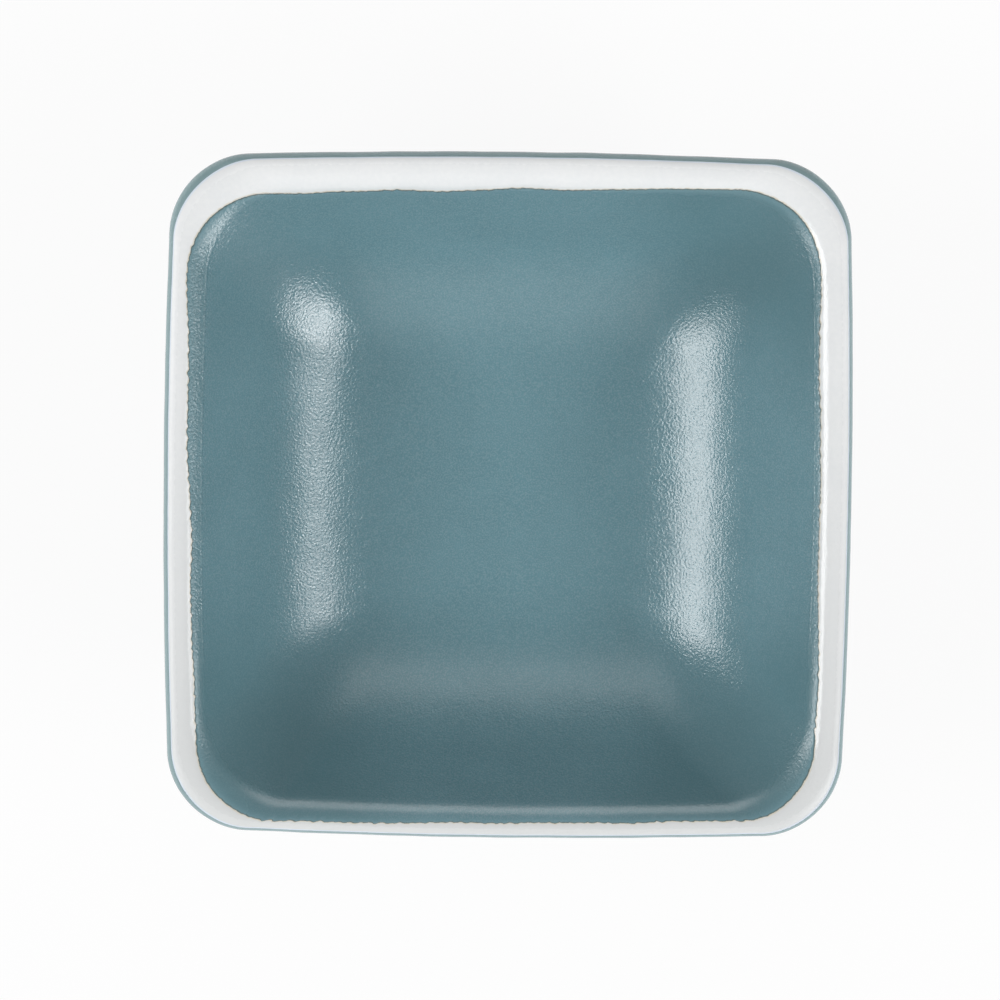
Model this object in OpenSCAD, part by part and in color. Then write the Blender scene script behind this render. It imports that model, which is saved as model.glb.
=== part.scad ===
// Square sauce dish, pressed from stoneware clay and glazed.
// The coloured glaze covers the well and the outside, and the lip is wiped back to a white band.
// The origin is the middle of the foot where it stands, +Z is up and +Y points to the back.

/* [Dish] */
// Width over the lip, the same both ways
dish_w = 90; // [84:0.5:96]
// Height from the table to the top of the lip
dish_h = 26; // [25.5:0.5:28]
// Corner radius of the lip's outer edge
corner_r = 10; // [8:0.5:12]
// How far the middle of each side swells out past its ends
side_swell = 1; // [0:0.1:1.4]

/* [Lip] */
// How far in from the edge the outer rounding reaches
edge_in = 1.7; // [1.5:0.1:2]
// How far the widest line lies below the top of the lip
edge_drop = 1.8; // [1.4:0.1:2.2]
// Radius of the rounding from the lip into the well
lip_round = 4.2; // [3.8:0.1:4.5]

/* [Well] */
// Depth of the well below the lip
well_depth = 20; // [19.2:0.1:20.4]
// Slope of the well's walls, in degrees from level
wall_slope = 53; // [52:0.5:54]
// Half the width of the well's floor
floor_half = 14; // [13.4:0.2:15]
// Slope that the floor has where it meets the walls, in degrees
floor_tilt = 1.5; // [1:0.1:3]
// Corner radius of the well where its walls run into the cove
well_corner = 11; // [10:0.5:12]
// Corner radius of the floor
floor_corner = 1; // [0.8:0.1:3]

/* [Foot] */
// Half the width of the foot ring, outside
foot_half = 23.6; // [23:0.1:25]
// Half the width of the recess inside the foot ring
recess_half = 20.8; // [20:0.1:21.4]
// Height of the recess above the table
recess_h = 2.2; // [1.8:0.1:2.4]
// Height at which the glaze stops above the table
foot_line = 0.9; // [0.7:0.05:1]

/* [Glaze] */
// Thickness of every coat of glaze
glaze_t = 0.3; // [0.2:0.05:0.4]
// How far in the white band starts from the widest line
band_start = 0.6; // [0.5:0.05:0.8]
// How far in the white band reaches at the back
band_back = 5; // [3:0.1:5.4]
// How far in the white band reaches at the front
band_front = 2.2; // [1.6:0.1:5.4]
// How far in the white band reaches on the left
band_left = 3.6; // [1.6:0.1:5.4]
// How far in the white band reaches on the right
band_right = 4.3; // [1.6:0.1:5.4]

/* [Hidden] */

clay_colour = "linen";
teal_colour = "cadetblue";
white_colour = "whitesmoke";

half_w = dish_w / 2;

// The lip: an elliptical outer rounding, a narrow level top and a round inner edge.
lip_flat = 0.05;
top_in = edge_in + lip_flat;
wall_in = top_in + lip_round * sin(wall_slope);
wall_top = lip_round * (1 - cos(wall_slope));

// The well: straight walls, a round cove and a floor dished by the floor's tilt.
// The length of the walls and the cove's radius follow from the depth and the floor's size.
floor_dish = floor_half * tan(floor_tilt) / 2;
span_in = half_w - wall_in - floor_half;
span_down = well_depth - wall_top - floor_dish;
cove_in_share = sin(wall_slope) - sin(floor_tilt);
cove_down_share = cos(floor_tilt) - cos(wall_slope);
cove_r = (span_in * tan(wall_slope) - span_down) / (cove_in_share * tan(wall_slope) - cove_down_share);
wall_run = span_in - cove_r * cove_in_share;
cove_in = wall_in + wall_run;
cove_drop = wall_top + wall_run * tan(wall_slope);
floor_in = half_w - floor_half;
cove_centre = [cove_in + cove_r * sin(wall_slope), cove_drop - cove_r * cos(wall_slope)];

// Corner radii as shares of the half width: the floor's grow towards its middle.
lip_share = corner_r / (half_w - side_swell);
floor_share = floor_corner / floor_half;
centre_share = 0.6;
foot_share = 0.34;

// The sides swell less at the foot, and not at all on the floor of the well.
foot_swell = 0.4 * side_swell;

// The outside: a curve that leaves the lip upright and comes in flat above the foot.
wall_pull = 5.5;
base_pull = 5.5;
base_lift = 0.5;
foot_cove = 0.7;
foot_draft = 0.1;
cut_depth = 1.5;
recess_round = 1.1;
cut_w = 2 * half_w;

// Rings have a fixed number of steps along each side and round each corner.
side_steps = 6;
corner_steps = 8;
quarter = side_steps + corner_steps;
cols = 4 * quarter;
band_steps = 6;
edge_steps = 4;
wall_steps = 2;
cove_steps = 6;
floor_steps = 3;
outer_steps = 7;
recess_steps = 2;
arc_steps = 3;
slope_step = 0.001;

// Inset ring that all the columns reach a little below the band's lowest edge
edge_margin = 0.7;
below_in = max(wall_in, band_back, band_front, band_left, band_right) + edge_margin;

function mix(a, b, t) = a + (b - a) * t;

function eased(t) = t * t * (3 - 2 * t);

function turned(p, angle) = [
    p[0] * cos(angle) - p[1] * sin(angle),
    p[0] * sin(angle) + p[1] * cos(angle)
];

function arc(centre, rx, rz, from, to, steps) = [
    for (i = [0:steps])
        let (a = mix(from, to, i / steps))
        [centre[0] + rx * cos(a), centre[1] + rz * sin(a)]
];

function curve(a, b, c, d, t) =
    pow(1 - t, 3) * a + 3 * t * pow(1 - t, 2) * b + 3 * pow(t, 2) * (1 - t) * c + pow(t, 3) * d;

// Direction in plan that a ring faces at a column
function facing(col) =
    let (i = col % quarter)
    let (angle = i < side_steps ? 0 : 90 * (i - side_steps) / corner_steps)
    turned([cos(angle), sin(angle)], 90 * floor(col / quarter));

// Point of a rounded square with swelling sides, whose half width is measured at mid side
function plan_point(col, half, corner, swell) =
    let (a = half - swell, flat = half - swell - corner, i = col % quarter)
    let (t = 90 * (i - side_steps) / corner_steps)
    let (p = i < side_steps
        ? [a, mix(-flat, flat, i / side_steps)]
        : [flat + corner * cos(t), flat + corner * sin(t)])
    let (x = p[0] + swell * p[0] / a * (1 - pow(p[1] / a, 2)))
    let (y = p[1] + swell * p[1] / a * (1 - pow(p[0] / a, 2)))
    turned([x, y], 90 * floor(col / quarter));

// How far the lip and well lie below the top of the lip, by the distance in from the edge
function drop(inset) =
    inset < edge_in ? edge_drop * (1 - sqrt(1 - pow(1 - inset / edge_in, 2)))
    : inset < top_in ? 0
    : inset < wall_in ? lip_round - sqrt(pow(lip_round, 2) - pow(inset - top_in, 2))
    : inset < cove_in ? wall_top + (inset - wall_in) * tan(wall_slope)
    : inset < floor_in ? cove_centre[1] + sqrt(pow(cove_r, 2) - pow(cove_centre[0] - inset, 2))
    : well_depth - floor_dish * pow((half_w - inset) / floor_half, 2);

// How far a ring lies down the cove, from 0 where the walls end to 1 at the floor
function down_cove(inset) = eased(max(0, min(1, (inset - cove_in) / (floor_in - cove_in))));

// Corner radius of a ring inside the dish, which shrinks down the cove to nearly square
function inner_corner(inset) =
    inset < cove_in ? mix(corner_r, well_corner, inset / cove_in)
    : inset < floor_in ? mix(well_corner, floor_corner, down_cove(inset))
    : (half_w - inset) * mix(floor_share, centre_share, (inset - floor_in) / floor_half);

// Point of the lip or well at a depth below the glaze's face
function inner_point(col, inset, depth) =
    let (slope = atan((drop(inset + slope_step) - drop(inset - slope_step)) / (2 * slope_step)))
    let (out = depth * sin(slope), swell = side_swell * (1 - down_cove(inset)))
    let (p = plan_point(col, half_w - inset + out, inner_corner(inset) + out, swell))
    [p[0], p[1], dish_h - drop(inset) - depth * cos(slope)];

// Inner edge of the white band, which the wiping left wider at the back than at the front
function band_end(col) =
    let (n = facing(col))
    pow(n[0], 2) * (n[0] > 0 ? band_right : band_left)
    + pow(n[1], 2) * (n[1] > 0 ? band_back : band_front);

function band_rows(depth) = [
    for (k = [0:band_steps])
        [for (c = [0:cols - 1]) inner_point(c, mix(band_start, band_end(c), k / band_steps), depth)]
];

// Insets of the rings from the lip's inner edge to the middle of the floor
well_insets = concat(
    [for (k = [1:wall_steps]) mix(below_in, cove_in, k / wall_steps)],
    [for (k = [1:cove_steps])
        cove_centre[0] - cove_r * sin(mix(wall_slope, floor_tilt, k / cove_steps))],
    [for (k = [1:floor_steps - 1]) mix(floor_in, half_w, k / floor_steps)]
);

function well_rows(depth) = concat(
    [for (k = [0:edge_steps])
        [for (c = [0:cols - 1]) inner_point(c, mix(band_end(c), below_in, k / edge_steps), depth)]],
    [for (inset = well_insets) [for (c = [0:cols - 1]) inner_point(c, inset, depth)]]
);

// Half profile of the recess under the dish, from its middle out to the glaze's edge
recess_flat = recess_half - recess_round;
recess_path = concat(
    [for (k = [1:recess_steps]) [recess_flat * k / recess_steps, recess_h]],
    arc([recess_flat, recess_h - recess_round], recess_round, recess_round, 90, 0, arc_steps)
);

// The foot ring is drawn past the table, and the clay is cut off flat there
foot_path = [
    [recess_half, foot_line],
    [recess_half + foot_draft, -cut_depth],
    [foot_half - foot_draft, -cut_depth],
    [foot_half, foot_line]
];

// Half profile of the outside, from the foot up and over the lip's outer rounding
outer_foot = [foot_half + foot_cove, recess_h + foot_cove - base_lift];
outer_edge = [half_w, dish_h - edge_drop];
edge_angle = acos(1 - band_start / edge_in);
outer_path = concat(
    arc([foot_half + foot_cove, outer_foot[1] - foot_cove], foot_cove, foot_cove, 180, 90, arc_steps),
    [for (k = [1:outer_steps])
        curve(outer_foot, outer_foot + [base_pull, base_lift], outer_edge - [0, wall_pull],
            outer_edge, k / outer_steps)],
    [for (k = [1:arc_steps - 1])
        [half_w - edge_in * (1 - cos(edge_angle * k / arc_steps)),
            dish_h - edge_drop * (1 - sin(edge_angle * k / arc_steps))]]
);

// Path moved into the clay by a depth, square to itself
function sunk(path, depth) = [
    for (k = [0:len(path) - 1])
        let (run = path[min(k + 1, len(path) - 1)] - path[max(k - 1, 0)])
        path[k] - depth * [run[1], -run[0]] / norm(run)
];

// Rings of a half profile of the underside or the outside
function path_rows(path) = [
    for (p = path)
        let (t = max(0, (p[0] - foot_half) / (half_w - foot_half)))
        let (swell = p[0] < foot_half ? foot_swell * p[0] / foot_half : mix(foot_swell, side_swell, t))
        let (corner = mix(foot_share, lip_share, t) * (p[0] - swell))
        [for (c = [0:cols - 1]) let (q = plan_point(c, p[0], corner, swell)) [q[0], q[1], p[1]]]
];

under_path = concat(recess_path, foot_path, outer_path);
recess_count = len(recess_path) + 1;
outer_first = len(recess_path) + len(foot_path) - 1;
under_last = len(under_path) - 1;

function part_of(list, first, last) = [for (k = [first:last]) list[k]];

function under_rows(depth) = path_rows(sunk(under_path, depth));

// Triangles between two rings, whose points start at p and q
function strip(p, q, flip) = [
    for (c = [0:cols - 1])
        let (d = (c + 1) % cols)
        each flip
            ? [[p + c, p + d, q + d], [p + c, q + d, q + c]]
            : [[p + c, q + d, p + d], [p + c, q + c, q + d]]
];

function strips(start, rows, flip) = [
    for (r = [0:rows - 2])
        each strip(start + r * cols, start + (r + 1) * cols, flip)
];

// Triangles from a ring to a point in its middle
function fan(start, pole, flip) = [
    for (c = [0:cols - 1])
        let (d = (c + 1) % cols)
        flip ? [start + c, start + d, pole] : [start + c, pole, start + d]
];

// Solid between the rings of a face and the rings behind it, open in the middle
module coat(face, back) {
    rows = len(face);
    behind = rows * cols;
    last = (rows - 1) * cols;
    polyhedron(
        points = [for (row = concat(face, back)) each row],
        faces = concat(
            strips(0, rows, false),
            strips(behind, rows, true),
            strip(0, behind, true),
            strip(last, behind + last, false)
        )
    );
}

// The same with both sides closed at the middle, where the rings run out from it
module disc_coat(face, back, face_z, back_z) {
    rows = len(face);
    behind = rows * cols;
    last = (rows - 1) * cols;
    poles = 2 * behind;
    polyhedron(
        points = concat([for (row = concat(face, back)) each row], [[0, 0, face_z], [0, 0, back_z]]),
        faces = concat(
            strips(0, rows, false),
            strips(behind, rows, true),
            fan(0, poles, true),
            fan(behind, poles + 1, false),
            strip(last, behind + last, false)
        )
    );
}

// The same where the rings run in to the middle
module dish_coat(face, back, face_z, back_z) {
    rows = len(face);
    behind = rows * cols;
    last = (rows - 1) * cols;
    poles = 2 * behind;
    polyhedron(
        points = concat([for (row = concat(face, back)) each row], [[0, 0, face_z], [0, 0, back_z]]),
        faces = concat(
            strips(0, rows, false),
            strips(behind, rows, true),
            strip(0, behind, true),
            fan(last, poles, false),
            fan(behind + last, poles + 1, true)
        )
    );
}

floor_z = dish_h - well_depth;

// The fired clay, with its foot ground flat
module clay_body() {
    well = well_rows(glaze_t);
    rows = concat(under_rows(glaze_t), band_rows(glaze_t), part_of(well, 1, len(well) - 1));
    top = len(rows) * cols;
    color(clay_colour) difference() {
        polyhedron(
            points = concat(
                [for (row = rows) each row],
                [[0, 0, recess_h + glaze_t], [0, 0, floor_z - glaze_t]]
            ),
            faces = concat(
                strips(0, len(rows), false),
                fan(0, top, true),
                fan(top - cols, top + 1, false)
            )
        );
        translate([-cut_w / 2, -cut_w / 2, -2 * cut_depth - glaze_t]) {
            cube([cut_w, cut_w, 2 * cut_depth + glaze_t]);
        }
    }
}

// Coloured glaze in the well, up to the wiped band
module well_glaze() {
    color(teal_colour) dish_coat(well_rows(0), well_rows(glaze_t), floor_z, floor_z - glaze_t);
}

// White glaze of the wiped band on the lip
module lip_glaze() {
    color(white_colour) coat(band_rows(0), band_rows(glaze_t));
}

// Coloured glaze outside, from the foot to the wiped band
module outer_glaze() {
    color(teal_colour) coat(
        concat(part_of(under_rows(0), outer_first, under_last), [band_rows(0)[0]]),
        concat(part_of(under_rows(glaze_t), outer_first, under_last), [band_rows(glaze_t)[0]])
    );
}

// Coloured glaze in the recess under the dish
module base_glaze() {
    color(teal_colour) disc_coat(
        part_of(under_rows(0), 0, recess_count - 1),
        part_of(under_rows(glaze_t), 0, recess_count - 1),
        recess_h,
        recess_h + glaze_t
    );
}

clay_body();
well_glaze();
lip_glaze();
outer_glaze();
base_glaze();
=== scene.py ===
import math

import bpy
import numpy as np
from mathutils import Matrix, Quaternion, Vector


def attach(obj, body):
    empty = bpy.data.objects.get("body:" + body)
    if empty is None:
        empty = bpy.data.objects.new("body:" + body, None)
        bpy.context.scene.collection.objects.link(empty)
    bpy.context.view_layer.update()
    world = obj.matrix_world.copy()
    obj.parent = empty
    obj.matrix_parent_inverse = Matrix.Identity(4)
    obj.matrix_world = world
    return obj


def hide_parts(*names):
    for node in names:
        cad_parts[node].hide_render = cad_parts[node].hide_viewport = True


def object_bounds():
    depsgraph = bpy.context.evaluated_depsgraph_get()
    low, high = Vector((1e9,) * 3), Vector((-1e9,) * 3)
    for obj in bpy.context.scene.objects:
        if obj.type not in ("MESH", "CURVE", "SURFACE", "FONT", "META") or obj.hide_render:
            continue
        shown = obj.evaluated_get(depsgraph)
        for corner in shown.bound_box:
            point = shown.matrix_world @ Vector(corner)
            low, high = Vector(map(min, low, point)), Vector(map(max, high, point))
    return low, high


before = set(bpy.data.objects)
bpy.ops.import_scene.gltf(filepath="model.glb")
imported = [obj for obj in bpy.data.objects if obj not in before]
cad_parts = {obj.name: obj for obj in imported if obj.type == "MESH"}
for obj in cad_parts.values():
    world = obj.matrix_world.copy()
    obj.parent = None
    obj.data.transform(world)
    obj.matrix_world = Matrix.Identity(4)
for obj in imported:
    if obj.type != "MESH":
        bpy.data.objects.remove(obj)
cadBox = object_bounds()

print("frame loaded:", ", ".join(sorted(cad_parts)))

mm = 0.001
probe = 0.001  # a small step in millimetres, to find which way a face runs
sharpFrom = 48  # degrees between two faces from which their edge is crisp

# Forms of the dish in millimetres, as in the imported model
dish = {
    "halfWidth": cadBox[1].x / mm,
    "height": cadBox[1].z / mm,
    "cornerRadius": 10,
    "swell": 1,  # how far each side bows out
    "edgeIn": 1.7,  # the round outer edge, across and down
    "edgeDrop": 1.8,
    "lipFlat": 0.05,
    "lipRound": 4.2,  # radius from the lip into the wall
    "wellDepth": 20,
    "wallSlope": 53,  # degrees
    "floorHalf": 14,
    "floorTilt": 1.5,  # degrees, where the floor meets the cove
    "wellCorner": 11,  # corner radius of the well at the top of the cove, and at its foot
    "floorCorner": 1,
    "centreShare": 0.6,  # the same at the middle of the floor, as a share of the ring there
    "coat": 0.3,  # thickness of the glaze
}

# Rings of points round the dish: steps along each side and round each corner
sideSteps = 240
cornerSteps = 64
quarterSteps = sideSteps + cornerSteps
columns = 4 * quarterSteps

halfWidth = dish["halfWidth"]
height = dish["height"]
coat = dish["coat"]
slopeSin = math.sin(math.radians(dish["wallSlope"]))
slopeCos = math.cos(math.radians(dish["wallSlope"]))
slopeTan = slopeSin / slopeCos
tilt = math.radians(dish["floorTilt"])

# The well's profile by the distance in from the dish's edge: lip, straight wall, cove and floor
lipTop = dish["edgeIn"] + dish["lipFlat"]
wallIn = lipTop + dish["lipRound"] * slopeSin
wallTop = dish["lipRound"] * (1 - slopeCos)
floorDish = dish["floorHalf"] * math.tan(tilt) / 2
floorIn = halfWidth - dish["floorHalf"]
coveAcross = slopeSin - math.sin(tilt)
coveDown = math.cos(tilt) - slopeCos
spanIn = floorIn - wallIn
spanDown = dish["wellDepth"] - wallTop - floorDish
coveRadius = (spanIn * slopeTan - spanDown) / (coveAcross * slopeTan - coveDown)
coveIn = floorIn - coveRadius * coveAcross
coveCentreIn = coveIn + coveRadius * slopeSin
coveCentreDrop = wallTop + (coveIn - wallIn) * slopeTan - coveRadius * slopeCos
lipShare = dish["cornerRadius"] / (halfWidth - dish["swell"])
floorShare = dish["floorCorner"] / dish["floorHalf"]


def mix(a, b, t):
    return a + (b - a) * t


def eased(t):
    t = np.clip(t, 0, 1)
    return t * t * (3 - 2 * t)


def hump(t):
    return np.exp(-t * t)


def shares(rows):
    # How far along each of the rows ends, as shares of the way
    return [k / rows for k in range(1, rows + 1)]


def dropAt(inset):
    # How far the face lies below the top of the lip
    inset = np.asarray(inset, float)
    edge = 1 - np.clip(inset / dish["edgeIn"], 0, 1)
    lip = np.clip(inset - lipTop, 0, dish["lipRound"])
    cove = np.clip(coveCentreIn - inset, -coveRadius, coveRadius)
    return np.select(
        [inset < dish["edgeIn"], inset < lipTop, inset < wallIn, inset < coveIn, inset < floorIn],
        [
            dish["edgeDrop"] * (1 - np.sqrt(1 - edge * edge)),
            0 * inset,
            dish["lipRound"] - np.sqrt(dish["lipRound"] ** 2 - lip * lip),
            wallTop + (inset - wallIn) * slopeTan,
            coveCentreDrop + np.sqrt(coveRadius ** 2 - cove * cove),
        ],
        dish["wellDepth"] - floorDish * ((halfWidth - inset) / dish["floorHalf"]) ** 2,
    )


# Where each column lies: its quarter, how far along the side it is, and its turn round the corner
columnQuarter = np.repeat(np.arange(4), quarterSteps)
columnStep = np.tile(np.arange(quarterSteps), 4)
columnAlong = np.minimum(columnStep / sideSteps, 1) * 2 - 1
columnTurn = np.maximum(columnStep - sideSteps, 0) / cornerSteps * math.pi / 2
facing = columnQuarter * math.pi / 2 + columnTurn


def planPoints(half, corner, swell, step):
    # A rounded square with bowed sides, with a point on every column or on one in so many
    along, turn, quarter = (each[::step] for each in (columnAlong, columnTurn, columnQuarter))
    onSide = columnStep[::step] < sideSteps
    straight = half - swell
    flat = straight - corner
    x = np.where(onSide, straight, flat + corner * np.cos(turn))
    y = np.where(onSide, along * flat, flat + corner * np.sin(turn))
    bowedX = x + swell * x / straight * (1 - (y / straight) ** 2)
    bowedY = y + swell * y / straight * (1 - (x / straight) ** 2)
    c, s = np.cos(quarter * math.pi / 2), np.sin(quarter * math.pi / 2)
    return bowedX * c - bowedY * s, bowedX * s + bowedY * c


def innerCorner(inset, downCove):
    # Corner radius inside the dish, which shrinks down the cove to nearly square
    inWell = mix(dish["cornerRadius"], dish["wellCorner"], np.clip(inset / coveIn, 0, 1))
    toCentre = (inset - floorIn) / dish["floorHalf"]
    onFloor = (halfWidth - inset) * mix(floorShare, dish["centreShare"], toCentre)
    return np.where(inset < floorIn, mix(inWell, dish["floorCorner"], downCove), onFloor)


def innerRing(inset, depth=0.0, step=1):
    # Points of the lip or well at a depth below its face, square to it
    slope = np.arctan2(dropAt(inset + probe) - dropAt(inset - probe), 2 * probe)
    out = depth * np.sin(slope)
    downCove = eased((inset - coveIn) / (floorIn - coveIn))
    swell = dish["swell"] * (1 - downCove)
    x, y = planPoints(halfWidth - inset + out, innerCorner(inset, downCove) + out, swell, step)
    z = height - dropAt(inset) - depth * np.cos(slope) + 0 * x
    return np.stack([x, y, z], axis=1)


def pole(z):
    # A ring that has closed to one point over the middle of the dish
    return np.array([[0, 0, z]])


# Slow unevenness of the pressed clay and of the glaze that ran over it, as waves by length and size
unevenness = {
    "seed": 41,
    "waves": [(26, 0.012), (17, 0.009), (11, 0.006), (7, 0.004), (5, 0.0025), (3.6, 0.0015)],
    "timesOver": 2,
}
rippleRandom = np.random.default_rng(unevenness["seed"])
ripples = [
    (rippleRandom.normal(size=3) * 2 * math.pi / length, rippleRandom.uniform(0, 2 * math.pi), size)
    for length, size in unevenness["waves"] * unevenness["timesOver"]
]


def rippleAt(points):
    # Only ever into the clay, so that the dish keeps its size
    return sum(size * (1 + np.sin(points @ wave + phase)) for wave, phase, size in ripples)


def bridged(a, b):
    # Faces from one ring of points to the next, which may have half or twice as many, or be a pole
    m, n = len(a), len(b)
    nextA, nextB = np.roll(a, -1), np.roll(b, -1)
    if m == 1 and n == 1:
        return []
    if m == n:
        corners = [(a, nextA, nextB, b)]
    elif n == 1:
        corners = [(a, nextA, np.full(m, b[0]))]
    elif m == 1:
        corners = [(np.full(n, a[0]), nextB, b)]
    elif m == 2 * n:
        even, odd = a[0::2], a[1::2]
        corners = [(even, odd, b), (odd, nextB, b), (odd, np.roll(even, -1), nextB)]
    else:
        even, odd = b[0::2], b[1::2]
        corners = [(a, nextA, odd), (nextA, np.roll(even, -1), odd), (a, odd, even)]
    return [face for ring in corners for face in np.stack(ring, axis=1).tolist()]


def loft(name, rings, measures=None):
    # Closed mesh through rings of points, the last joined to the first, and what it holds at them
    starts = np.cumsum([0] + [len(ring) for ring in rings])
    numbered = [start + np.arange(len(ring)) for start, ring in zip(starts, rings)]
    faces = []
    for ring, following in zip(numbered, numbered[1:] + numbered[:1]):
        faces += bridged(ring, following)
    mesh = bpy.data.meshes.new(name)
    mesh.from_pydata((np.concatenate(rings) * mm).tolist(), [], faces)
    mesh.validate()
    mesh.polygons.foreach_set("use_smooth", np.ones(len(mesh.polygons), bool))
    mesh.set_sharp_from_angle(angle=math.radians(sharpFrom))
    for label, values in (measures or {}).items():
        layer = mesh.attributes.new(label, "FLOAT", "POINT")
        layer.data.foreach_set("value", np.concatenate(values).astype(np.float32))
    piece = bpy.data.objects.new(name, mesh)
    bpy.context.scene.collection.objects.link(piece)
    print(f"{name}: {len(mesh.vertices)} points, {len(mesh.polygons)} faces")
    return piece


# The line that the lip was wiped back to: a rounded square laid a little askew over the dish
wipedLine = {
    "halfAcross": 41.04,
    "halfAlong": 41.35,
    "cornerRadius": 10.15,
    "swell": 0.42,
    "centre": (-0.35, -1.42),
    "turn": 0.9,  # degrees
    "narrowsToFront": 0.0063,
    "narrowsToLeft": 0.0038,
    "seed": 7,
    "rimAt": 3.5,  # inset at which the way round the rim is measured
    "waver": [(30, 0.03), (17, 0.02), (9, 0.012)],  # waves by length and size
    "tremble": [(4.2, 0.012), (2.6, 0.014), (1.4, 0.016), (0.9, 0.014)],
    "neighbours": (-0.27, -0.11, 0, 0.13, 0.31),  # each wave comes as five, this far off its count
    "phases": (0, 6.3),
    "biteLength": (0.7, 1.9),
    "biteSpread": (1.6, 0.5),  # shape and scale of the draw for their sizes
    "biteDepth": 0.05,
    "biteMean": 0.33,  # taken off, so that the bites leave the line in its place
    "calmCorners": 0.7,
    "calmBack": 0.5,
    "searched": (1.0, 12.0),  # insets between which the line is found
    "halvings": 40,
}


def waysRound():
    # How far round the rim each column lies, from 0 to 1, and the length of the rim
    rim = innerRing(np.full(columns, wipedLine["rimAt"]))
    lengths = np.linalg.norm(np.roll(rim, -1, axis=0) - rim, axis=1)
    perimeter = lengths.sum()
    return (np.cumsum(lengths) - lengths[0]) / perimeter, perimeter


def roundNoise(random, waves, around, perimeter):
    # Wavering values along the rim that close up after one round
    total = np.zeros_like(around)
    for length, size in waves:
        turns = max(1, round(perimeter / length))
        for off in wipedLine["neighbours"]:
            count = max(1, round(turns * (1 + off)))
            strength = size * random.normal()
            phase = random.uniform(*wipedLine["phases"])
            total += strength * np.sin(2 * math.pi * count * around + phase)
    return total


def spongeBites(random, around, perimeter):
    # Little bites with one steep end, where the sponge dragged the glaze
    low, high = wipedLine["biteLength"]
    ends = np.cumsum(random.uniform(low, high, int(perimeter / low)))
    ends = ends[ends < perimeter - low] / perimeter
    starts = np.concatenate([[0], ends])
    stops = np.concatenate([ends, [1]])
    bite = np.searchsorted(ends, around)
    along = (around - starts[bite]) / (stops[bite] - starts[bite])
    sizes = random.gamma(*wipedLine["biteSpread"], len(starts)) * wipedLine["biteDepth"]
    return sizes[bite] * (along ** 2 - wipedLine["biteMean"])


def lineWander():
    # How far the line strays inwards from its rounded square at each column
    random = np.random.default_rng(wipedLine["seed"])
    around, perimeter = waysRound()
    wander = roundNoise(random, wipedLine["tremble"], around, perimeter)
    wander += spongeBites(random, around, perimeter)
    # The sponge ran smoothly round the corners and along the back
    wander *= 1 - wipedLine["calmCorners"] * np.abs(np.sin(2 * facing))
    wander *= 1 - wipedLine["calmBack"] * np.maximum(0, np.sin(facing))
    return wander + roundNoise(random, wipedLine["waver"], around, perimeter)


def pastLine(ring):
    # How far outside the rounded square each point lies, or inside it where below 0
    corner, swell = wipedLine["cornerRadius"], wipedLine["swell"]
    turn = math.radians(wipedLine["turn"])
    x, y = ring[:, 0] - wipedLine["centre"][0], ring[:, 1] - wipedLine["centre"][1]
    x, y = x * math.cos(turn) + y * math.sin(turn), y * math.cos(turn) - x * math.sin(turn)
    halfX = wipedLine["halfAcross"] + wipedLine["narrowsToFront"] * y
    halfY = wipedLine["halfAlong"] + wipedLine["narrowsToLeft"] * x
    bulgeX = 1 + swell / halfX * (1 - np.clip(y / halfY, -1, 1) ** 2)
    bulgeY = 1 + swell / halfY * (1 - np.clip(x / halfX, -1, 1) ** 2)
    overX = np.abs(x) / bulgeX - halfX + corner + swell
    overY = np.abs(y) / bulgeY - halfY + corner + swell
    outside = np.hypot(np.maximum(overX, 0), np.maximum(overY, 0))
    return outside + np.minimum(np.maximum(overX, overY), 0) - corner


def wipedInset():
    # Inset at which each column crosses the line, closed in on by halving
    wander = lineWander()
    near, far = (np.full(columns, inset) for inset in wipedLine["searched"])
    for _ in range(wipedLine["halvings"]):
        middle = (near + far) / 2
        beyond = pastLine(innerRing(middle)) + wander > 0
        near, far = np.where(beyond, middle, near), np.where(beyond, far, middle)
    return (near + far) / 2


lineInset = wipedInset()
print(f"wiped line {lineInset.min():.2f} to {lineInset.max():.2f} mm in from the edge")

# Where the white band starts inside the outer teal, which reaches furthest in at the back
outerLine = {"inset": 0.6, "lessAtRight": 0.06, "moreAtBack": 0.12}
bandStart = (
    outerLine["inset"] - outerLine["lessAtRight"] * np.cos(facing)
    + outerLine["moreAtBack"] * np.sin(facing) * (1 + np.abs(np.sin(2 * facing)))
)

# Glaze in the well, from the wiped line to the middle of the floor
wellCoat = {
    "edgeRows": [0, 0.03, 0.07, 0.12, 0.18, 0.26, 0.36, 0.48],  # past the line
    "edgeSink": 0.06,  # how much lower the glaze runs out at the line
    "edgeWidth": 0.16,
    "lipReach": 7.2,  # inset from which the rings no longer follow the line
    "lipRows": 40,
    "wallRows": 10,
    "wallStep": 2,
    "coveRows": 44,
    "coveSteps": [(0.5, 2), (math.inf, 4)],  # columns to a point, up to a share of the way
    "floorRows": 26,
    "floorSteps": [(0.5, 4), (0.8, 8), (math.inf, 16)],
    "middleFromLine": 30.0,
    "backEvery": 3,  # the coat's hidden back has one ring in so many
}


def stepAt(share, steps):
    # How many columns there are to a point at a share of the way
    return next(step for upTo, step in steps if share < upTo)


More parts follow.
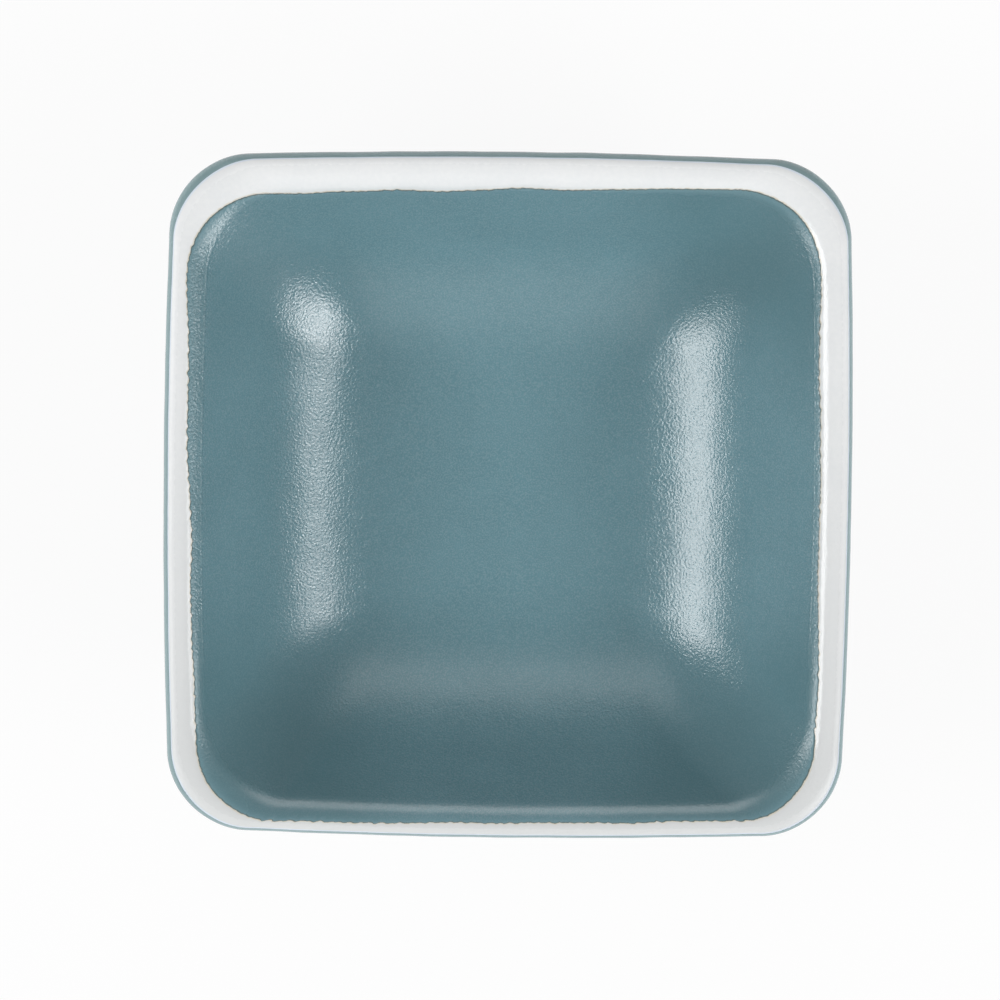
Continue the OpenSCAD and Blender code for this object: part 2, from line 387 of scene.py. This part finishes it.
def wellRings():
    # Insets of the rings down the well, and how many columns there are to a point
    edgeEnd = lineInset + wellCoat["edgeRows"][-1]
    rings = [(lineInset + row, 1) for row in wellCoat["edgeRows"]]
    rings += [(mix(edgeEnd, wellCoat["lipReach"], share), 1) for share in shares(wellCoat["lipRows"])]
    even = []
    for share in shares(wellCoat["wallRows"]):
        even.append((mix(wellCoat["lipReach"], coveIn, share), wellCoat["wallStep"]))
    for share in shares(wellCoat["coveRows"]):
        slope = mix(math.radians(dish["wallSlope"]), tilt, share)
        even.append((coveCentreIn - coveRadius * math.sin(slope), stepAt(share, wellCoat["coveSteps"])))
    for share in shares(wellCoat["floorRows"])[:-1]:
        even.append((mix(floorIn, halfWidth, share), stepAt(share, wellCoat["floorSteps"])))
    return rings + [(np.full(columns // step, inset), step) for inset, step in even]


def buildWell():
    rings, fromLine, fromRim = [], [], []
    for inset, step in wellRings():
        past = inset - lineInset[::step]
        sink = wellCoat["edgeSink"] * hump(past / wellCoat["edgeWidth"])
        rings.append(innerRing(inset, sink + rippleAt(innerRing(inset, 0.0, step)), step))
        fromLine.append(past)
        fromRim.append(inset)
    floorZ = height - dish["wellDepth"]
    rings += [pole(floorZ - rippleAt(np.zeros((1, 3)))[0]), pole(floorZ - coat)]
    fromLine += [np.full(1, wellCoat["middleFromLine"])] * 2
    fromRim += [np.full(1, halfWidth)] * 2
    for inset, step in wellRings()[::-wellCoat["backEvery"]]:
        rings.append(innerRing(inset, coat, step))
        fromLine.append(inset - lineInset[::step])
        fromRim.append(inset)
    return loft("wellGlaze", rings, {"fromLine": fromLine, "fromRim": fromRim})


# White glaze of the wiped lip
lipCoat = {
    "rows": 30,
    "edgeRow": 0.4,  # one more row close to either edge, by this part of a row
    "backRows": (1, 0.66, 0.33, 0),
    "sink": 0.015,
    "edgeSink": 0.05,
    "edgeWidth": 0.3,
}


def buildLip():
    edgeRow = lipCoat["edgeRow"] / lipCoat["rows"]
    faceRows = sorted({0, edgeRow, 1 - edgeRow, *shares(lipCoat["rows"])})
    rows = [(share, True) for share in faceRows] + [(share, False) for share in lipCoat["backRows"]]
    rings, fromLine, fromEdge = [], [], []
    for share, onFace in rows:
        inset = mix(bandStart, lineInset, share)
        sink = lipCoat["sink"] + lipCoat["edgeSink"] * hump((lineInset - inset) / lipCoat["edgeWidth"])
        rings.append(innerRing(inset, sink + rippleAt(innerRing(inset)) if onFace else coat))
        fromLine.append(lineInset - inset)
        fromEdge.append(inset - bandStart)
    return loft("lipGlaze", rings, {"fromLine": fromLine, "fromEdge": fromEdge})


# The outside and the underside, as half profiles of distance from the middle and height
under = {
    "footHalf": 23.6,
    "recessHalf": 20.8,
    "recessHeight": 2.2,
    "recessRound": 1.1,
    "footLine": 0.9,  # height at which the glaze ends on the foot ring
    "footShare": 0.34,
    "footSwell": 0.4,
    "footCove": 0.7,
    "wallPull": 5.5,  # how far the outside's curve is drawn down from the edge, and out from the foot
    "basePull": 5.5,
    "baseLift": 0.5,
    "footRows": 6,
    "recessRows": 12,
    "arcSteps": 10,
    "outsideSteps": 72,
    "edgeSteps": 8,
    "outsideStep": 2,  # columns to a point
    "baseStep": 4,
    "backEvery": 4,
    "recessRipple": 0.6,  # share of the unevenness
}
footX = under["footHalf"] + under["footCove"]
footCoveZ = under["recessHeight"] - under["baseLift"]
edgeZ = height - dish["edgeDrop"]


def arc(centreX, centreZ, radius, start, stop, steps):
    angles = np.radians(np.linspace(start, stop, steps + 1))
    return [(centreX + radius * math.cos(a), centreZ + radius * math.sin(a)) for a in angles]


def outsideCurve():
    # One curve that starts out nearly level from the foot and ends upright at the edge
    foot, edge = (footX, footCoveZ + under["footCove"]), (halfWidth, edgeZ)
    points = np.array([
        foot,
        (foot[0] + under["basePull"], foot[1] + under["baseLift"]),
        (edge[0], edge[1] - under["wallPull"]),
        edge,
    ])
    t = np.linspace(0, 1, under["outsideSteps"] + 1)[:, None]
    weights = ((1 - t) ** 3, 3 * t * (1 - t) ** 2, 3 * t ** 2 * (1 - t), t ** 3)
    return sum(weight * point for weight, point in zip(weights, points)).tolist()


def outsideProfile():
    rows = under["footRows"]
    path = [(under["footHalf"], mix(under["footLine"], footCoveZ, k / rows)) for k in range(rows)]
    path += arc(footX, footCoveZ, under["footCove"], 180, 90, under["arcSteps"])
    return path + outsideCurve()[1:]


def recessProfile():
    radius, roof = under["recessRound"], under["recessHeight"]
    flat = under["recessHalf"] - radius
    path = [(flat * share, roof) for share in shares(under["recessRows"])]
    path += arc(flat, roof - radius, radius, 90, 0, under["arcSteps"])[1:]
    return path + [(under["recessHalf"], under["footLine"])]


def underRing(point, step):
    reach, z = point
    pastFoot = max(0, (reach - under["footHalf"]) / (halfWidth - under["footHalf"]))
    swell = mix(under["footSwell"], dish["swell"], pastFoot)
    if reach < under["footHalf"]:
        swell = under["footSwell"] * reach / under["footHalf"]
    corner = mix(under["footShare"], lipShare, pastFoot) * (reach - swell)
    x, y = planPoints(reach, corner, swell, step)
    return np.stack([x, y, z + 0 * x], axis=1)


def sunk(path, depth):
    # The profile moved into the clay, square to itself
    path = np.array(path, float)
    run = np.gradient(path, axis=0)
    run /= np.linalg.norm(run, axis=1)[:, None]
    return (path - depth * np.stack([run[:, 1], -run[:, 0]], axis=1)).tolist()


outsidePath = outsideProfile()
recessPath = recessProfile()


def buildOutside():
    step = under["outsideStep"]
    start = bandStart[::step]
    rings, fromBand = [], []
    for point, behind in zip(outsidePath, sunk(outsidePath, probe)):
        ring = underRing(point, step)
        inward = (underRing(behind, step) - ring) / probe
        rings.append(ring + inward * rippleAt(ring)[:, None])
        fromBand.append(start + edgeZ - point[1])
    for share in shares(under["edgeSteps"]):
        inset = start * (1 - math.cos(math.pi / 2 * share))
        rings.append(innerRing(inset, rippleAt(innerRing(inset, 0.0, step)), step))
        fromBand.append(start - inset)
    rings.append(innerRing(start, coat, step))
    fromBand.append(0 * start)
    for point in sunk(outsidePath, coat)[::-under["backEvery"]]:
        rings.append(underRing(point, step))
        fromBand.append(start + edgeZ - point[1])
    return loft("outerGlaze", rings, {"fromBand": fromBand})


def buildRecess():
    step = under["baseStep"]
    rings = [pole(under["recessHeight"] + coat), pole(under["recessHeight"])]
    for point in recessPath:
        ring = underRing(point, step)
        ring[:, 2] += under["recessRipple"] * rippleAt(ring)
        rings.append(ring)
    rings += [underRing(point, step) for point in sunk(recessPath, coat)[::-1]]
    return loft("baseGlaze", rings)


# The clay shows on the foot ring alone: how far in from the glaze's face it stands, and how high
clay = {
    "tuckedIn": 0.09,
    "tuckedUp": 0.1,
    "lineIn": 0.02,
    "sideIn": 0.04,
    "sideHeight": 0.5,
    "roundIn": 0.06,
    "round": 0.22,
    "roundSteps": 4,
    "groundAt": (0.3, 0.5, 0.7),
    "outsideEvery": 3,
    "bandRows": (0, 0.25, 0.5, 0.75, 1),
    "wellFrom": 3,  # rows left out next to the line, and then one taken in so many
    "wellEvery": 4,
}


def footProfile():
    # Down the inside of the foot ring, over the ground face and up the outside
    inner, outer = under["recessHalf"], under["footHalf"]
    side = [
        (clay["tuckedIn"], under["footLine"] + clay["tuckedUp"]),
        (clay["lineIn"], under["footLine"]),
        (clay["sideIn"], clay["sideHeight"]),
    ]
    radius, steps = clay["round"], clay["roundSteps"]
    path = [(inner + further, z) for further, z in side]
    path += arc(inner + clay["roundIn"] + radius, radius, radius, 180, 270, steps)
    path += [(mix(inner, outer, share), 0) for share in clay["groundAt"]]
    path += arc(outer - clay["roundIn"] - radius, radius, radius, 270, 360, steps)
    return path + [(outer - further, z) for further, z in reversed(side)]


def buildClay():
    step = under["baseStep"]
    rings = [pole(height - dish["wellDepth"] - coat), pole(under["recessHeight"] + coat)]
    outside = sunk(outsidePath, coat)[1::clay["outsideEvery"]]
    path = sunk(recessPath, coat)[:-1] + footProfile() + outside
    rings += [underRing(point, step) for point in path]
    for share in clay["bandRows"]:
        rings.append(innerRing(mix(bandStart, lineInset, share)[::step], coat, step))
    first = len(wellCoat["edgeRows"]) + clay["wellFrom"]
    for inset, _ in wellRings()[first::clay["wellEvery"]]:
        picked = inset[::step] if len(inset) == columns else np.full(columns // step, inset[0])
        rings.append(innerRing(picked, coat, step))
    return loft("clayBody", rings)


# A wire is the output socket of a node, so that node maths is written as an expression
class Wire:
    def __init__(self, finish, socket):
        self.finish = finish
        self.socket = socket

    def maths(self, operation, first, second=0.0, clamp=False):
        settings = {"operation": operation, "use_clamp": clamp}
        return self.finish.node("ShaderNodeMath", settings, {0: first, 1: second})

    def __add__(self, other):
        return self.maths("ADD", self, other)

    def __radd__(self, other):
        return self.maths("ADD", other, self)

    def __sub__(self, other):
        return self.maths("SUBTRACT", self, other)

    def __rsub__(self, other):
        return self.maths("SUBTRACT", other, self)

    def __mul__(self, other):
        return self.maths("MULTIPLY", self, other)

    def __rmul__(self, other):
        return self.maths("MULTIPLY", other, self)

    def __truediv__(self, other):
        return self.maths("DIVIDE", self, other)

    def __rtruediv__(self, other):
        return self.maths("DIVIDE", other, self)

    def __abs__(self):
        return self.maths("ABSOLUTE", self)

    def clamped(self):
        return self.maths("ADD", self, 0.0, True)

    def ramped(self, low, high):
        # 0 at low and 1 at high, eased
        settings = {"interpolation_type": "SMOOTHSTEP"}
        sockets = {"Value": self, "From Min": low, "From Max": high}
        return self.finish.node("ShaderNodeMapRange", settings, sockets)


# The nodes of a material, or of the world
class Finish:
    def __init__(self, owner):
        self.owner = owner
        owner.use_nodes = True
        self.tree = owner.node_tree
        self.tree.nodes.clear()

    def node(self, kind, settings=None, sockets=None, output=0):
        made = self.tree.nodes.new(kind)
        for label, value in (settings or {}).items():
            setattr(made, label, value)
        for label, value in (sockets or {}).items():
            if isinstance(value, Wire):
                self.tree.links.new(value.socket, made.inputs[label])
            else:
                made.inputs[label].default_value = value
        return Wire(self, made.outputs[output]) if len(made.outputs) else made

    def place(self):
        # Place on the object, in millimetres
        where = self.node("ShaderNodeTexCoord", output="Object")
        return self.node("ShaderNodeVectorMath", {"operation": "SCALE"}, {0: where, "Scale": 1 / mm})

    def axis(self, vector, letter):
        return self.node("ShaderNodeSeparateXYZ", {}, {0: vector}, letter)

    def noise(self, place, size, detail, rough=0.5, bent=0.0, levels=None):
        # Pattern with features of about a size, drawn apart between two levels
        sockets = {"Vector": place, "Scale": 1 / size, "Detail": detail, "Roughness": rough}
        sockets["Distortion"] = bent
        pattern = self.node("ShaderNodeTexNoise", {}, sockets, "Fac")
        return pattern.ramped(*levels) if levels else pattern

    def blend(self, factor, first, second):
        return self.node("ShaderNodeMix", {"data_type": "RGBA"}, {0: factor, 6: first, 7: second}, 2)

    def layered(self, colour, mask, layer):
        # A colour with a layer's own laid over it where the mask is, by the layer's share at most
        return self.blend(mask * layer["share"], colour, layer["colour"])

    def measure(self, name):
        # Value that the mesh holds at each point
        return self.node("ShaderNodeAttribute", {"attribute_name": name}, {}, "Fac")

    def bumped(self, relief, distance):
        return self.node("ShaderNodeBump", {}, {"Height": relief, "Distance": distance})

    def seenBy(self, *kinds):
        # 1 for rays of these kinds, 0 for others
        first, *others = (self.node("ShaderNodeLightPath", output=f"Is {kind} Ray") for kind in kinds)
        return sum(others, first).clamped()

    def surface(self, sockets):
        shader = self.node("ShaderNodeBsdfPrincipled", {}, sockets)
        self.node("ShaderNodeOutputMaterial", {}, {"Surface": shader})
        return self.owner


# Teal satin glaze. Sizes and heights of its patterns are in millimetres
tealFinish = {
    "colour": (0.139, 0.268, 0.311, 1),
    "deep": (0.121, 0.239, 0.278, 1),
    "cloud": {"size": 9, "detail": 3, "levels": (0.32, 0.7)},
    "mottle": {"size": 0.9, "detail": 3, "rough": 0.6, "levels": (0.3, 0.72)},
    "speck": {"colour": (0.25, 0.355, 0.385, 1), "share": 0.35},
    "fleck": {"size": 0.24, "detail": 1, "levels": (0.66, 0.82)},
    "grain": {"size": 0.2, "detail": 2, "rough": 0.6, "levels": (0.35, 0.65)},
    "grainShare": 0.65,
    "grainLess": 0.21,  # taken off, so that only the stronger grain shows
    # Painted shade: a darker colour laid into the corners of the well, which leans to the front right
    "cornerShade": {"colour": (0.092, 0.185, 0.211, 1), "share": 0.6},
    "cornerShadeFrom": (0.35, 1.1),
    "cornerShadeLean": 80,  # a smaller one leans more to the front right
    "cornerAt": 30,  # how far across and along the measure of a corner comes to 1
    "edge": {"colour": (0.25, 0.362, 0.38, 1), "share": 1.0},
    "edgeBand": (0.6, 2.2),  # down the outside from the white band
    "peel": {"size": 0.33, "detail": 1.5, "bent": 0.4},
    "peelHeight": 0.06,
    "roughness": 0.195,
    "patches": {"size": 3, "detail": 3},
    "patchRoughness": 0.08,
    "ior": 1.66,
}

# What the wiping left on the teal glaze in the well, by distance from the line, the rim or the middle
wipedFinish = {
    "ragged": {"size": 0.3, "detail": 2},
    "raggedBy": 0.24,
    "thin": {"colour": (0.16, 0.286, 0.33, 1), "share": 0.55, "band": (0.1, 0.9)},
    "rust": {"colour": (0.075, 0.088, 0.07, 1), "share": 0.75, "band": (0.05, 0.17)},
    "worn": {"colour": (0.6, 0.58, 0.5, 1), "share": 0.8, "band": (-0.02, 0.03)},
    "lipBand": (4.3, 4.7),  # the polished front: from the rim, then along and across from the middle
    "frontFrom": (-36, -31),
    "frontHalf": (30, 38),
    "sidesFrom": (-24, -16),  # the dragged sides: along from the middle, then from the rim
    "sidesTo": (29, 35),
    "draggedBand": (3.6, 6.4),
    "draggedRoughness": 0.17,
    "draggedPeel": 2.4,
    "calmCorner": (0.7, 1.2),  # the smoother corners of the wall
    "calmWall": (5.5, 8),
    "calmPeel": 0.7,
    "ridgeIn": 5.1,  # the fine raised line, in from the rim
    "ridgeWidth": 0.12,
    "ridgeFalls": (0, 1.6),  # in widths to either side
    "ridgeStarts": (0, 0.6),
    "ridgeHeight": 0.05,
    "coatRoughness": 0.26,
    "coatIor": 1.8,
}


def wipedColour(finish, place, colour):
    # Thinner towards the line, then rust-coloured, then worn down to the clay
    fromLine = finish.measure("fromLine")
    stray = wipedFinish["raggedBy"]
    ragged = fromLine + finish.noise(place, **wipedFinish["ragged"]) * stray - stray / 2
    for distance, name in ((fromLine, "thin"), (ragged, "rust"), (ragged, "worn")):
        near = 1 - distance.ramped(*wipedFinish[name]["band"])
        colour = finish.layered(colour, near, wipedFinish[name])
    return colour


def wipedRelief(finish, across, along, corner, peel, gloss):
    # The sponge polished the front of the lip, and dragged at the sides up to a fine raised line
    fromLine, fromRim = finish.measure("fromLine"), finish.measure("fromRim")
    lip = 1 - fromRim.ramped(*wipedFinish["lipBand"])
    nearFront = 1 - along.ramped(*wipedFinish["frontFrom"])
    front = nearFront * (1 - abs(across).ramped(*wipedFinish["frontHalf"]))
    atSides = along.ramped(*wipedFinish["sidesFrom"]) * (1 - along.ramped(*wipedFinish["sidesTo"]))
    dragged = (1 - fromRim.ramped(*wipedFinish["draggedBand"])) * (1 - front)
    calm = corner.ramped(*wipedFinish["calmCorner"]) * fromRim.ramped(*wipedFinish["calmWall"])
    rougher = dragged * atSides * wipedFinish["draggedPeel"]
    peel = peel * (1 + rougher - calm * wipedFinish["calmPeel"])
    off = (fromRim - wipedFinish["ridgeIn"]) / wipedFinish["ridgeWidth"]
    ridge = 1 - abs(off).ramped(*wipedFinish["ridgeFalls"])
    ridge = ridge * fromLine.ramped(*wipedFinish["ridgeStarts"]) * atSides
    sockets = {
        "Roughness": gloss + dragged * wipedFinish["draggedRoughness"],
        "Coat Weight": lip * front,
        "Coat Roughness": wipedFinish["coatRoughness"],
        "Coat IOR": wipedFinish["coatIor"],
    }
    return peel + ridge * wipedFinish["ridgeHeight"], sockets


def tealGlaze(name, part):
    finish = Finish(bpy.data.materials.new(name))
    place = finish.place()
    mottled = finish.noise(place, **tealFinish["cloud"]) + finish.noise(place, **tealFinish["mottle"])
    colour = finish.blend(mottled / 2, tealFinish["deep"], tealFinish["colour"])
    grain = finish.noise(place, **tealFinish["grain"]) * tealFinish["grainShare"]
    colour = finish.blend(grain - tealFinish["grainLess"], colour, tealFinish["speck"]["colour"])
    flecks = finish.noise(place, **tealFinish["fleck"])
    colour = finish.layered(colour, flecks, tealFinish["speck"])
    # Painted shade: darker in the corners of the well, least at the back left
    across, along = finish.axis(place, "X"), finish.axis(place, "Y")
    corner = abs(across) * abs(along) / tealFinish["cornerAt"] ** 2
    leaningShade = (1 + (across - along) / tealFinish["cornerShadeLean"]).clamped()
    cornerShade = corner.ramped(*tealFinish["cornerShadeFrom"]) * leaningShade
    colour = finish.layered(colour, cornerShade, tealFinish["cornerShade"])
    peel = finish.noise(place, **tealFinish["peel"]) * tealFinish["peelHeight"]
    patchy = tealFinish["patchRoughness"]
    gloss = tealFinish["roughness"] + finish.noise(place, **tealFinish["patches"]) * patchy - patchy / 2
    sockets = {"Roughness": gloss}
    if part == "well":
        colour = wipedColour(finish, place, colour)
        peel, sockets = wipedRelief(finish, across, along, corner, peel, gloss)
    if part == "outside":
        nearBand = 1 - finish.measure("fromBand").ramped(*tealFinish["edgeBand"])
        colour = finish.layered(colour, nearBand, tealFinish["edge"])
    sockets.update({"Base Color": colour, "Normal": finish.bumped(peel, mm), "IOR": tealFinish["ior"]})
    return finish.surface(sockets)


# White glaze with its gloss, cream along the line, bluish along the outer edge and painted shade
# towards the front
whiteFinish = {
    "colour": (0.85, 0.862, 0.865, 1),
    "shade": (0.81, 0.828, 0.836, 1),
    "cloud": {"size": 5, "detail": 3, "levels": (0.3, 0.7)},
    "mottle": {"size": 0.6, "detail": 2, "levels": (0.3, 0.75)},
    # Painted shade: the white turns greyer towards the front
    "leaningShade": (0.68, 0.695, 0.695, 1),
    "shadeForward": (-35, 60),
    "cream": {"colour": (0.66, 0.6, 0.47, 1), "share": 0.9},
    "creamBand": (0.03, 0.2),
    "creamPatches": {"size": 0.5, "detail": 2, "levels": (0.3, 0.7)},
    "creamLeast": 0.4,
    "bluish": {"colour": (0.68, 0.77, 0.88, 1), "share": 0.8},
    "bluishBand": (0.04, 0.26),
    "peel": {"size": 0.5, "detail": 2, "bent": 0.3},
    "peelHeight": 0.034,
    "roughness": 0.16,
    "mottleRoughness": 0.06,
    "edgeRoughness": 0.25,
    "edgeBand": (0.3, 1.4),
    "ior": 1.5,
}


def whiteGlaze(name):
    finish = Finish(bpy.data.materials.new(name))
    place = finish.place()
    fromLine, fromEdge = finish.measure("fromLine"), finish.measure("fromEdge")
    mottle = finish.noise(place, **whiteFinish["mottle"])
    mottled = (finish.noise(place, **whiteFinish["cloud"]) + mottle) / 2
    colour = finish.blend(mottled, whiteFinish["shade"], whiteFinish["colour"])
    # Painted shade: the white turns greyer towards the front
    forward = 0 - finish.axis(place, "Y")
    colour = finish.blend(forward.ramped(*whiteFinish["shadeForward"]), colour, whiteFinish["leaningShade"])
    least = whiteFinish["creamLeast"]
    patches = least + finish.noise(place, **whiteFinish["creamPatches"]) * (1 - least)
    atLine = (1 - fromLine.ramped(*whiteFinish["creamBand"])) * patches
    colour = finish.layered(colour, atLine, whiteFinish["cream"])
    atEdge = 1 - fromEdge.ramped(*whiteFinish["bluishBand"])
    colour = finish.layered(colour, atEdge, whiteFinish["bluish"])
    rounded = 1 - fromEdge.ramped(*whiteFinish["edgeBand"])
    gloss = whiteFinish["roughness"] + mottle * whiteFinish["mottleRoughness"]
    peel = finish.noise(place, **whiteFinish["peel"])
    return finish.surface({
        "Base Color": colour,
        "Roughness": gloss + rounded * whiteFinish["edgeRoughness"],
        "Normal": finish.bumped(peel, whiteFinish["peelHeight"] * mm),
        "IOR": whiteFinish["ior"],
    })


# Bare clay of the foot ring, with dark grit in it
clayFinish = {
    "colour": (0.56, 0.5, 0.4, 1),
    "dark": (0.4, 0.33, 0.24, 1),
    "cloud": {"size": 2.5, "detail": 4, "rough": 0.6},
    "cloudLevels": (0.3, 0.72),
    "grit": {"colour": (0.16, 0.12, 0.09, 1), "share": 0.8},
    "grains": {"size": 0.35, "detail": 1, "levels": (0.68, 0.74)},
    "tooth": {"size": 0.3, "detail": 4, "rough": 0.7},
    "dents": {"size": 1.2, "detail": 2},
    "dentShare": 0.5,
    "toothHeight": 0.05,
    "roughness": 0.82,
    "cloudRoughness": 0.1,
}


def bareClay(name):
    finish = Finish(bpy.data.materials.new(name))
    place = finish.place()
    cloud = finish.noise(place, **clayFinish["cloud"])
    levelled = cloud.ramped(*clayFinish["cloudLevels"])
    colour = finish.blend(levelled, clayFinish["dark"], clayFinish["colour"])
    colour = finish.layered(colour, finish.noise(place, **clayFinish["grains"]), clayFinish["grit"])
    dents = finish.noise(place, **clayFinish["dents"]) * clayFinish["dentShare"]
    relief = finish.noise(place, **clayFinish["tooth"]) + dents
    return finish.surface({
        "Base Color": colour,
        "Roughness": clayFinish["roughness"] + cloud * clayFinish["cloudRoughness"],
        "Normal": finish.bumped(relief, clayFinish["toothHeight"] * mm),
    })


tealInWell = tealGlaze("tealGlazeInWell", "well")
tealOutside = tealGlaze("tealGlazeOutside", "outside")
tealBelow = tealGlaze("tealGlazeBelow", "base")
whiteBand = whiteGlaze("whiteGlaze")
clayOfFoot = bareClay("bareClay")
print("finishes made")

for make, material, node, slot in (
    (buildWell, tealInWell, "well_glaze", "teal_glaze"),
    (buildLip, whiteBand, "lip_glaze", "white_glaze"),
    (buildOutside, tealOutside, "outer_glaze", "teal_glaze"),
    (buildRecess, tealBelow, "base_glaze", "teal_glaze"),
    (buildClay, clayOfFoot, "clay_body", "bare_clay"),
):
    piece = make()
    piece.data.materials.append(material)
    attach(piece, "root")
    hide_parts(node)
print("pieces made")

# Pale floor, white to the camera and to reflections, which keeps a faint shadow, and a soft world
studio = {
    "floorSize": 6,
    "floorColour": (0.82, 0.82, 0.82, 1),
    "floorWhite": 0.92,
    "white": (1, 1, 1, 1),
    "fill": 0.12,  # what the world adds to the light on the dish
    "overhead": 0.1,
    "horizon": (0.0, 0.08),
}


def buildFloor():
    half = studio["floorSize"] / 2
    corners = [(-half, -half, 0), (half, -half, 0), (half, half, 0), (-half, half, 0)]
    mesh = bpy.data.meshes.new("floor")
    mesh.from_pydata(corners, [], [(0, 1, 2, 3)])
    floor = bpy.data.objects.new("floor", mesh)
    bpy.context.scene.collection.objects.link(floor)
    finish = Finish(bpy.data.materials.new("paleFloor"))
    seen = finish.seenBy("Camera", "Glossy", "Transmission")
    plain = finish.node("ShaderNodeBsdfDiffuse", {}, {"Color": studio["floorColour"]})
    white = finish.node("ShaderNodeEmission", {}, {"Color": studio["white"], "Strength": 1.0})
    mixed = finish.node("ShaderNodeMixShader", {}, {0: seen * studio["floorWhite"], 1: plain, 2: white})
    finish.node("ShaderNodeOutputMaterial", {}, {"Surface": mixed})
    mesh.materials.append(finish.owner)


def buildWorld():
    world = bpy.data.worlds.new("studio")
    bpy.context.scene.world = world
    finish = Finish(world)
    seen = finish.seenBy("Camera", "Glossy", "Transmission")
    shown = finish.seenBy("Camera", "Transmission")
    direction = finish.node("ShaderNodeTexCoord", output="Generated")
    # Gloss sees the white background near the horizon and a dim room overhead
    low = 1 - finish.axis(direction, "Z").ramped(*studio["horizon"])
    glossy = finish.seenBy("Glossy") * (studio["overhead"] + low * (1 - studio["overhead"]))
    strength = (1 - seen) * studio["fill"] + shown + glossy
    back = finish.node("ShaderNodeBackground", {}, {"Color": studio["white"], "Strength": strength})
    finish.node("ShaderNodeOutputWorld", {}, {"Surface": back})


# Soft lamps: where they stand by their angle off the vertical and their bearing from +X,
# their width across that angle and length along the side of the dish, and their brightness
lamps = {
    "leftSoftbox": {"off": 52.5, "bearing": 190, "roll": 0, "width": 0.7, "length": 1.3, "bright": 7.0},
    "rightSoftbox": {"off": 53.5, "bearing": -8, "roll": 0, "width": 0.6, "length": 0.5, "bright": 4.4},
    "rightWindow": {"off": 59, "bearing": -33, "roll": 8, "width": 0.54, "length": 0.8, "bright": 10.1},
    "backCard": {"off": 52, "bearing": 90, "roll": 0, "width": 0.74, "length": 1.4, "bright": 1.0},
    "frontCard": {"off": 62, "bearing": -91, "roll": 0, "width": 1.8, "length": 0.4, "bright": 0.7},
}
lampDistance = 1.6


def buildLamp(name, settings):
    off, bearing = math.radians(settings["off"]), math.radians(settings["bearing"])
    away = Vector((math.sin(off) * math.cos(bearing), math.sin(off) * math.sin(bearing), math.cos(off)))
    light = bpy.data.lights.new(name, "AREA")
    light.shape = "RECTANGLE"
    light.size, light.size_y = settings["length"], settings["width"]
    light.energy = settings["bright"] * math.pi * settings["width"] * settings["length"]
    lamp = bpy.data.objects.new(name, light)
    level = Vector((-math.sin(bearing), math.cos(bearing), 0))
    level.rotate(Quaternion(away, math.radians(settings["roll"])))
    lamp.matrix_world = Matrix((level, away.cross(level), away)).transposed().to_4x4()
    lamp.location = away * lampDistance
    lamp.visible_camera = False
    bpy.context.scene.collection.objects.link(lamp)


buildFloor()
buildWorld()
for lampName, lampSettings in lamps.items():
    buildLamp(lampName, lampSettings)
print("studio made")

# The photograph looks down from a little behind the middle of the dish, here in mm, degrees and pixels
cameraPlace = {
    "distance": 503,
    "tilt": 4.7,
    "roll": 0.64,
    "pixelsPerMm": 7.656,
    "dishAt": (507.5, 497.0),
    "picture": 1000,
    "sensor": 36,
}


def buildCamera():
    perMm, half = cameraPlace["pixelsPerMm"], cameraPlace["picture"] / 2
    data = bpy.data.cameras.new("camera")
    data.sensor_width = cameraPlace["sensor"]
    data.lens = cameraPlace["sensor"] * perMm * cameraPlace["distance"] / cameraPlace["picture"]
    camera = bpy.data.objects.new("camera", data)
    tilted, rolled = math.radians(cameraPlace["tilt"]), math.radians(cameraPlace["roll"])
    back = Vector((0, math.sin(tilted), math.cos(tilted)))
    flatRight, flatUp = Vector((1, 0, 0)), Vector((0, math.cos(tilted), -math.sin(tilted)))
    right = flatRight * math.cos(rolled) + flatUp * math.sin(rolled)
    up = flatUp * math.cos(rolled) - flatRight * math.sin(rolled)
    aside = (half - cameraPlace["dishAt"][0]) / perMm
    above = (cameraPlace["dishAt"][1] - half) / perMm
    target = Vector((0, 0, edgeZ)) + right * aside + up * above
    camera.matrix_world = Matrix((right, up, back)).transposed().to_4x4()
    camera.location = (target + back * cameraPlace["distance"]) * mm
    bpy.context.scene.collection.objects.link(camera)
    bpy.context.scene.camera = camera


buildCamera()
bpy.context.scene.view_settings.view_transform = "Standard"
print("camera made")
